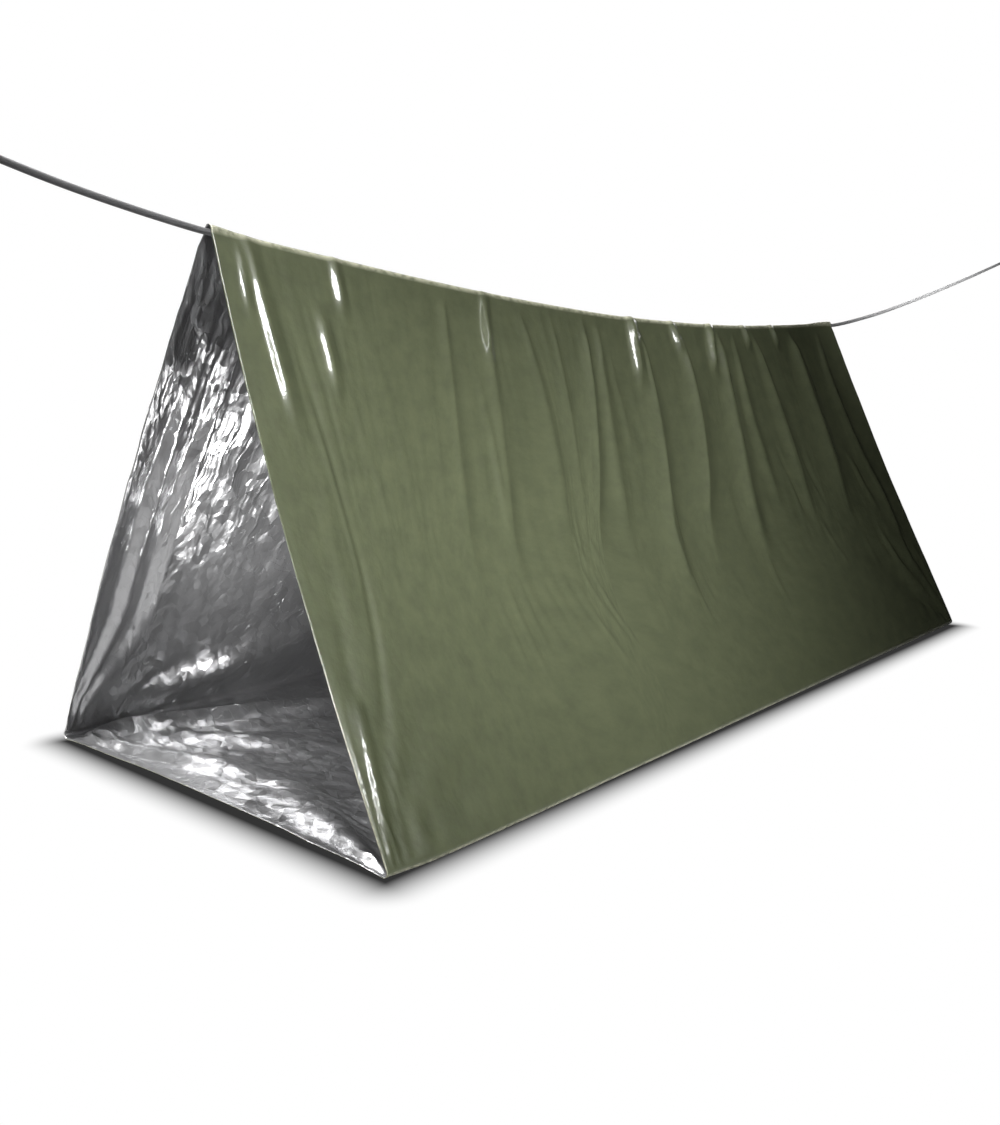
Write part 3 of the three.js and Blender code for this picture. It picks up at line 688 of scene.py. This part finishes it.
def film_block(part, row, radius):
    """Points of one stretch of the trip round the sleeve, columns by rows. Each is a point of a centre line,
    the ridge, a foot or the line between them, plus the film's radius and its relief along the way it faces
    there."""
    base = columns[:, None]
    row = row[None, :]
    side = -1 if part.startswith("left") else 1
    moved = {"ridge": 0 * row, "right": lean(base, row, 1), "left": lean(base, row, -1),
             "right_foot": lean(base, 1 + 0 * row, 1), "left_foot": lean(base, 1 + 0 * row, -1),
             "floor": lean(base, 1 + 0 * row, 1) * (1 - row) + lean(base, 1 + 0 * row, -1) * row}[part]
    if part == "floor":
        row = follow_crest(row, base + moved)
    near_edge, far_edge = edges(part, row)
    share = (base + moved) / sleeve_length + 0.5
    y = near_edge + share * (far_edge - near_edge)
    foot_x = through(floor_half_widths, y) - film_radius
    ridge_z = rope_height(y)
    wall_angle = np.arctan2(foot_x, ridge_z - film_radius)
    out = np.zeros_like(y)
    if part == "ridge":
        angle = np.pi - wall_angle - row * (np.pi - 2 * wall_angle)
        centre_x, centre_z = np.zeros_like(y), ridge_z
        out = lip_lift(y) * (1 - (1 - lip_at_wall) * (2 * row - 1) ** 2)
        out += pinch_height(y + sleeve_length / 2, 0) * ease(row, pinch_over_ridge, 1)
    elif part == "floor":
        angle = np.full_like(y, -np.pi / 2)
        centre_x, centre_z = foot_x * (1 - 2 * row), np.full_like(y, film_radius)
        out = -floor_relief(centre_x, y)
        side = 1
    elif part.endswith("foot"):
        turn = row if side > 0 else 1 - row
        angle = wall_angle - turn * (wall_angle + np.pi / 2)
        centre_x, centre_z = foot_x, np.full_like(y, film_radius)
    else:
        angle = wall_angle
        centre_x, centre_z = foot_x * row, ridge_z + (film_radius - ridge_z) * row
        slant = np.hypot(foot_x, ridge_z - film_radius)
        out = wall_relief(y, row, slant, y - near_edge, side)
    reach = radius + out
    x = side * (centre_x + reach * np.cos(angle))
    z = centre_z + reach * np.sin(angle)
    return np.stack([x, y + 0 * x, z + 0 * x], axis=-1)


stretches = [("ridge", ridge_rows), ("right", right_rows), ("right_foot", foot_rows), ("floor", floor_rows),
             ("left_foot", foot_rows), ("left", left_rows[::-1])]


def film_surface(radius):
    """The whole trip round the sleeve: over the ridge, down the right wall, over the floor, up the left."""
    return np.concatenate([film_block(part, row, radius) for part, row in stretches], axis=1)


outer = film_surface(film_radius)
inner = film_surface(film_radius - film_thickness)
column_count, trip_count = outer.shape[:2]
layer_size = column_count * trip_count
outer_faces = grid_faces(column_count, trip_count, True)
turned_over = [0, 3, 2, 1]   # keeps each square's diagonal, so that the two sides stay parallel
inner_faces = grid_faces(column_count, trip_count, True, layer_size)[:, turned_over]
ring = np.arange(trip_count)
next_ring = (ring + 1) % trip_count
last = (column_count - 1) * trip_count
near_rim = np.stack([ring, ring + layer_size, next_ring + layer_size, next_ring], axis=-1)
far_rim = np.stack([last + ring, last + next_ring, last + next_ring + layer_size, last + ring + layer_size],
                   axis=-1)

around = np.concatenate([np.zeros((column_count, 1)),
                         np.cumsum(np.linalg.norm(np.diff(outer, axis=1), axis=-1), axis=1)], axis=1)
around = np.concatenate([around, around[:, -1:] + 0.002], axis=1)   # and a short step back to the first row
uv_grid = np.stack([np.broadcast_to(columns[:, None], around.shape), around], axis=-1)
outer_uv = corner_values(uv_grid)
inner_uv = outer_uv.reshape(-1, 4, 2)[:, turned_over].reshape(-1, 2)
rim_uv = np.zeros((4 * 2 * trip_count, 2))

# The olive side: polyester film under a thin lacquer, smooth and glossy. It shows a slight mottle, fine
# wrinkles that run down from the rope and soft ripples, and a painted highlight: a flecked cream line mixed
# into its colour along the ridge, the bends at the feet and the open edges.
mottle_size, fleck_size, ripple_size = 0.045, 0.014, 0.028
wrinkle_width, wrinkle_length = 0.030, 0.260
wrinkle_depth = ripple_depth = 0.0009
olive, tree, shader = add_material("olive_lacquered_film")
shader.inputs["Roughness"].default_value = 0.40
shader.inputs["Coat Weight"].default_value = 1.0
shader.inputs["Coat IOR"].default_value = 1.65
shader.inputs["Coat Roughness"].default_value = 0.08
place = add_node(tree, "ShaderNodeTexCoord")
mottle = add_node(tree, "ShaderNodeTexNoise", {"Scale": 1 / mottle_size, "Detail": 5, "Roughness": 0.62},
                  {"Vector": place.outputs["UV"]})
mottle_share = add_node(tree, "ShaderNodeMapRange", {1: 0.32, 2: 0.68}, {0: mottle.outputs["Fac"]})
body = add_node(tree, "ShaderNodeMix", {6: colour("#5a6048"), 7: colour("#686e53")},
                {0: mottle_share.outputs[0]}, data_type="RGBA")
pale = add_node(tree, "ShaderNodeAttribute", attribute_name="painted_rim_highlight")
fleck = add_node(tree, "ShaderNodeTexNoise", {"Scale": 1 / fleck_size, "Detail": 3},
                 {"Vector": place.outputs["UV"]})
fleck_share = add_node(tree, "ShaderNodeMapRange", {1: 0.30, 2: 0.58, 3: 0.25}, {0: fleck.outputs["Fac"]})
pale_share = add_node(tree, "ShaderNodeMath", links={0: pale.outputs["Fac"], 1: fleck_share.outputs[0]},
                      operation="MULTIPLY")
# painted highlight: a flecked cream mixed into the olive along the ridge, the bends at the feet and the open
# edges
olive_with_rim_highlight = add_node(tree, "ShaderNodeMix", {7: colour("#eeedd2")},
                  {0: pale_share.outputs[0], 6: body.outputs[2]}, data_type="RGBA")
tree.links.new(olive_with_rim_highlight.outputs[2], shader.inputs["Base Color"])
slack = add_node(tree, "ShaderNodeAttribute", attribute_name="slack")
stretched = add_node(tree, "ShaderNodeMapping", {"Scale": (1 / wrinkle_width, 1 / wrinkle_length, 1)},
                     {"Vector": place.outputs["UV"]}, vector_type="POINT")
wrinkles = add_node(tree, "ShaderNodeTexNoise",
                    {"Scale": 1.0, "Detail": 3, "Roughness": 0.55, "Distortion": 0.25},
                    {"Vector": stretched.outputs[0]}, noise_type="RIDGED_MULTIFRACTAL")
slack_wrinkles = add_node(tree, "ShaderNodeMath", links={0: wrinkles.outputs["Fac"], 1: slack.outputs["Fac"]},
                          operation="MULTIPLY")
wrinkle_bump = add_node(tree, "ShaderNodeBump", {"Strength": 1.0, "Distance": wrinkle_depth},
                        {"Height": slack_wrinkles.outputs[0]})
ripple = add_node(tree, "ShaderNodeTexNoise", {"Scale": 1 / ripple_size, "Detail": 4, "Roughness": 0.5},
                  {"Vector": place.outputs["UV"]})
ripple_bump = add_node(tree, "ShaderNodeBump", {"Strength": 1.0, "Distance": ripple_depth},
                       {"Height": ripple.outputs["Fac"], "Normal": wrinkle_bump.outputs[0]})
tree.links.new(ripple_bump.outputs[0], shader.inputs["Normal"])
tree.links.new(ripple_bump.outputs[0], shader.inputs["Coat Normal"])

# The silver side: the same film's layer of evaporated aluminium, bare and mirror-like. It is crumpled all
# over into small facets with sharp ridges between them, each mirroring another part of the surroundings.
warp_size, warp_reach = 0.05, 0.035
facets = [(0.070, 0.06), (0.024, 0.07)]   # size, slope
# sharp ridges between them: width, length, height, and whether only where the film is slack
ridge_sets = [(0.040, 0.060, 0.0022, False), (0.014, 0.140, 0.0022, True)]
silver, tree, shader = add_material("aluminised_film")
shader.inputs["Base Color"].default_value = colour("#b4b4b5")
shader.inputs["Metallic"].default_value = 0.90
shader.inputs["Roughness"].default_value = 0.28
place = add_node(tree, "ShaderNodeTexCoord")
warp = add_node(tree, "ShaderNodeTexNoise", {"Scale": 1 / warp_size, "Detail": 2},
                {"Vector": place.outputs["UV"]})
shift = add_node(tree, "ShaderNodeVectorMath", {1: (0.5, 0.5, 0.5)}, {0: warp.outputs["Color"]},
                 operation="SUBTRACT")
spread = add_node(tree, "ShaderNodeVectorMath", {"Scale": warp_reach}, {0: shift.outputs[0]},
                  operation="SCALE")
warped = add_node(tree, "ShaderNodeVectorMath", links={0: place.outputs["UV"], 1: spread.outputs[0]},
                  operation="ADD")
bumps = None
for facet_size, slope in facets:
    cells = add_node(tree, "ShaderNodeTexVoronoi", {"Scale": 1 / facet_size}, {"Vector": warped.outputs[0]})
    from_middle = add_node(tree, "ShaderNodeVectorMath",
                           links={0: warped.outputs[0], 1: cells.outputs["Position"]}, operation="SUBTRACT")
    lean_way = add_node(tree, "ShaderNodeVectorMath", {1: (0.5, 0.5, 0.5)}, {0: cells.outputs["Color"]},
                        operation="SUBTRACT")
    facet = add_node(tree, "ShaderNodeVectorMath", links={0: from_middle.outputs[0], 1: lean_way.outputs[0]},
                     operation="DOT_PRODUCT")
    bumps = add_node(tree, "ShaderNodeBump", {"Strength": 1.0, "Distance": 2 * slope},
                     {"Height": facet.outputs["Value"], **({"Normal": bumps.outputs[0]} if bumps else {})})
slack = add_node(tree, "ShaderNodeAttribute", attribute_name="slack")
for width, length, height, only_slack in ridge_sets:
    drawn_out = add_node(tree, "ShaderNodeMapping", {"Scale": (1 / width, 1 / length, 1)},
                         {"Vector": warped.outputs[0]})
    ridges = add_node(tree, "ShaderNodeTexNoise", {"Scale": 1.0, "Detail": 4, "Roughness": 0.55},
                      {"Vector": drawn_out.outputs[0]}, noise_type="RIDGED_MULTIFRACTAL")
    amount = add_node(tree, "ShaderNodeMath", {1: 1.0}, {0: ridges.outputs["Fac"]}, operation="MULTIPLY")
    if only_slack:
        tree.links.new(slack.outputs["Fac"], amount.inputs[1])
    bumps = add_node(tree, "ShaderNodeBump", {"Strength": 1.0, "Distance": height},
                     {"Height": amount.outputs[0], "Normal": bumps.outputs[0]})
tree.links.new(bumps.outputs[0], shader.inputs["Normal"])

film = add_piece("metallised_sleeve", np.vstack([outer.reshape(-1, 3), inner.reshape(-1, 3)]),
                 np.vstack([outer_faces, inner_faces, near_rim, far_rim]),
                 np.vstack([outer_uv, inner_uv, rim_uv]), [olive, silver])
slots = np.concatenate([np.zeros(len(outer_faces), int), np.ones(len(inner_faces), int),
                        np.zeros(2 * trip_count, int)])
film.data.polygons.foreach_set("material_index", slots)

# where the film is slack between the folds, and where a painted highlight, a pale line, runs along its edges
# and fold lines, for both of its sides: slack down to a share of the wall, the painted highlight at shares
# over the ridge and of the bend at a foot, and a few millimetres in from an open edge, least under the ridge
slack_end = (0.40, 0.78)
pale_over_ridge = (0, 0.35, 0.5, 0.85, 1), (0, 0.5, 1, 1, 0.6)
pale_foot = (0.20, 0.55)
pale_edge_run, pale_floor_edge = (0.0005, 0.0040), 0.9
pale_wall_edge, pale_lower_wall_edge, pale_lower_wall = 0.05, 0.80, (0.50, 0.85)
stretch_names = np.repeat([part for part, _ in stretches], [len(rows) for _, rows in stretches])
down = np.concatenate([{"ridge": rows * 0, "right": rows, "left": rows}.get(part, rows * 0 + 1)
                       for part, rows in stretches])
slack_rows = 1 - ease(down, *slack_end)
pale_rows = np.zeros(len(down))
pale_rows[stretch_names == "ridge"] = np.interp(ridge_rows, *pale_over_ridge)
pale_rows[stretch_names == "right_foot"] = ease(foot_rows, *pale_foot)
pale_rows[stretch_names == "left_foot"] = ease(1 - foot_rows, *pale_foot)
wall_edge = pale_wall_edge + (pale_lower_wall_edge - pale_wall_edge) * ease(down, *pale_lower_wall)
end_rows = np.where(stretch_names == "floor", pale_floor_edge, wall_edge)
at_end = 1 - ease(sleeve_length / 2 - np.abs(columns), *pale_edge_run)
pale = np.maximum(pale_rows[None, :], end_rows[None, :] * at_end[:, None])
slack = np.broadcast_to(slack_rows[None, :], pale.shape)
for name, values in (("slack", slack), ("painted_rim_highlight", pale)):
    attribute = film.data.attributes.new(name, "FLOAT", "POINT")
    attribute.data.foreach_set("value", np.tile(values.astype(np.float32).ravel(), 2))
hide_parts("film_sleeve")
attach(film, "root")

# Studio floor
# A pale floor without an end. The camera sees it glowing pure white but for a painted shadow: a soft dark
# band under the sleeve's base that fades out from a rectangle round its footprint. It lights the sleeve as a
# matt grey floor does.
stage_level, stage_reach = -0.0006, 30
# the painted shadow: its centre and half size, the width of its fade, its darkest tone and the power of its
# fade
shadow_centre, shadow_half = (0.012, -0.014, 0), (0.458, 1.192)
shadow_blur, shadow_tone, shadow_power = 0.085, 0.03, 0.6
floor_mesh = bpy.data.meshes.new("studio_floor")
floor_mesh.from_pydata([(stage_reach * x, stage_reach * y, stage_level)
                        for x, y in ((-1, -1), (1, -1), (1, 1), (-1, 1))], [], [(0, 1, 2, 3)])
studio_floor = bpy.data.objects.new("studio_floor", floor_mesh)
scene.collection.objects.link(studio_floor)
floor_paint, tree, shader = add_material("white_floor_painted_shadow")
shader.inputs["Base Color"].default_value = colour("#8c8c8c")
shader.inputs["Roughness"].default_value = 0.9
# painted shadow: the glowing white is darkened by the distance outside that rectangle
place = add_node(tree, "ShaderNodeTexCoord")
centred = add_node(tree, "ShaderNodeVectorMath", {1: shadow_centre}, {0: place.outputs["Object"]},
                   operation="SUBTRACT")
mirrored = add_node(tree, "ShaderNodeVectorMath", links={0: centred.outputs[0]}, operation="ABSOLUTE")
beyond = add_node(tree, "ShaderNodeVectorMath", {1: (*shadow_half, 0)}, {0: mirrored.outputs[0]},
                  operation="SUBTRACT")
outside = add_node(tree, "ShaderNodeVectorMath", {1: (0, 0, 0)}, {0: beyond.outputs[0]}, operation="MAXIMUM")
distance = add_node(tree, "ShaderNodeVectorMath", links={0: outside.outputs[0]}, operation="LENGTH")
fall = add_node(tree, "ShaderNodeMapRange", {2: shadow_blur}, {0: distance.outputs["Value"]},
                interpolation_type="SMOOTHSTEP")
paler = add_node(tree, "ShaderNodeMath", {1: shadow_power}, {0: fall.outputs[0]}, operation="POWER")
painted_shadow = add_node(tree, "ShaderNodeMix", {6: (shadow_tone, shadow_tone, shadow_tone, 1), 7: (1, 1, 1, 1)},
                {0: paler.outputs[0]}, data_type="RGBA")
glow = add_node(tree, "ShaderNodeEmission", links={0: painted_shadow.outputs[2]})
ray = add_node(tree, "ShaderNodeLightPath")
seen = add_node(tree, "ShaderNodeMixShader", links={0: ray.outputs["Is Camera Ray"], 1: shader.outputs[0],
                                                     2: glow.outputs[0]})
tree.links.new(seen.outputs[0], tree.nodes["Material Output"].inputs[0])
floor_mesh.materials.append(floor_paint)


# Lights
# Softboxes before the open end and beside the visible wall light it and fall off to its far end. Long ones
# high above are mirrored only in the steep folds under the ridge, and a low one in the fold at the near
# corner. The others light the inside, the ground before it, the hidden wall, the far end and the far rope.
def add_softbox(name, place, target, size, watts, spread):
    """A rectangular softbox at a place, turned to face a target, with its second side upright and its light
    kept within a spread in degrees."""
    data = bpy.data.lights.new(name, "AREA")
    data.shape = "RECTANGLE"
    data.size, data.size_y = size
    data.energy = watts
    data.spread = np.radians(spread)
    lamp = bpy.data.objects.new(name, data)
    lamp.location = place
    lamp.rotation_mode = "QUATERNION"
    lamp.rotation_quaternion = (Vector(target) - Vector(place)).to_track_quat("-Z", "Y")
    lamp.visible_camera = False
    scene.collection.objects.link(lamp)


softboxes = [
    # name, place, target, size, watts, spread
    ("beside", (1.35, -2.90, 1.25), (0.25, -0.50, 0.45), (0.90, 0.90), 3.3, 36),
    ("beside_middle", (2.60, -0.90, 1.00), (0.25, -0.38, 0.32), (1.00, 1.00), 2.8, 40),
    ("low_near", (2.80, -0.90, 1.80), (0.40, -1.15, 0.15), (0.35, 0.70), 1.0, 40),
    ("high_near", (1.15, -1.00, 2.60), (0.00, -1.10, 0.85), (0.30, 1.10), 2.8, 50),
    ("high_middle", (1.10, 0.10, 2.60), (0.00, 0.25, 0.85), (0.26, 1.40), 1.8, 50),
    ("open_end", (-0.15, -1.85, 0.35), (-0.35, -1.00, 0.35), (0.30, 0.50), 1.3, 120),
    ("front_floor", (-0.50, -1.70, 1.50), (-0.35, -1.45, 0.00), (0.80, 0.80), 11, 70),
    ("inside", (0.12, -0.90, 0.17), (-0.35, -0.80, 0.40), (0.12, 0.26), 2.0, 110),
    ("hidden_wall", (-1.20, 0.10, 2.80), (-0.30, 0.00, 0.40), (1.40, 1.20), 13, 70),
    ("high_hidden", (-1.25, -0.20, 2.30), (0.00, 0.20, 0.75), (0.26, 1.40), 2.4, 60),
    ("far_end", (-0.90, 2.60, 1.00), (-0.10, 1.00, 0.40), (1.20, 1.20), 8, 180),
    ("far_rope", (1.60, 1.40, 2.40), (0.00, 2.10, 1.15), (0.60, 0.60), 14.0, 50),
]
for softbox in softboxes:
    add_softbox(*softbox)

# the studio beyond the lamps: white to the camera, and for all else a faint glow from the open end's side
glow_near, glow_far = 0.045, 0.003
world = bpy.data.worlds.new("studio")
world.use_nodes = True
tree = world.node_tree
tree.nodes.clear()
place = add_node(tree, "ShaderNodeTexCoord")
split = add_node(tree, "ShaderNodeSeparateXYZ", links={0: place.outputs["Generated"]})
dim_level = add_node(tree, "ShaderNodeMapRange", {1: -0.6, 2: 0.6, 3: glow_near, 4: glow_far},
                     {0: split.outputs["Y"]}, interpolation_type="SMOOTHSTEP")
dim = add_node(tree, "ShaderNodeBackground", {0: (1, 1, 1, 1)}, {1: dim_level.outputs[0]})
white = add_node(tree, "ShaderNodeBackground", {0: (1, 1, 1, 1), 1: 1.0})
ray = add_node(tree, "ShaderNodeLightPath")
seen = add_node(tree, "ShaderNodeMixShader", links={0: ray.outputs["Is Camera Ray"], 1: dim.outputs[0],
                                                     2: white.outputs[0]})
add_node(tree, "ShaderNodeOutputWorld", links={0: seen.outputs[0]})
scene.world = world
scene.view_settings.view_transform = "Standard"
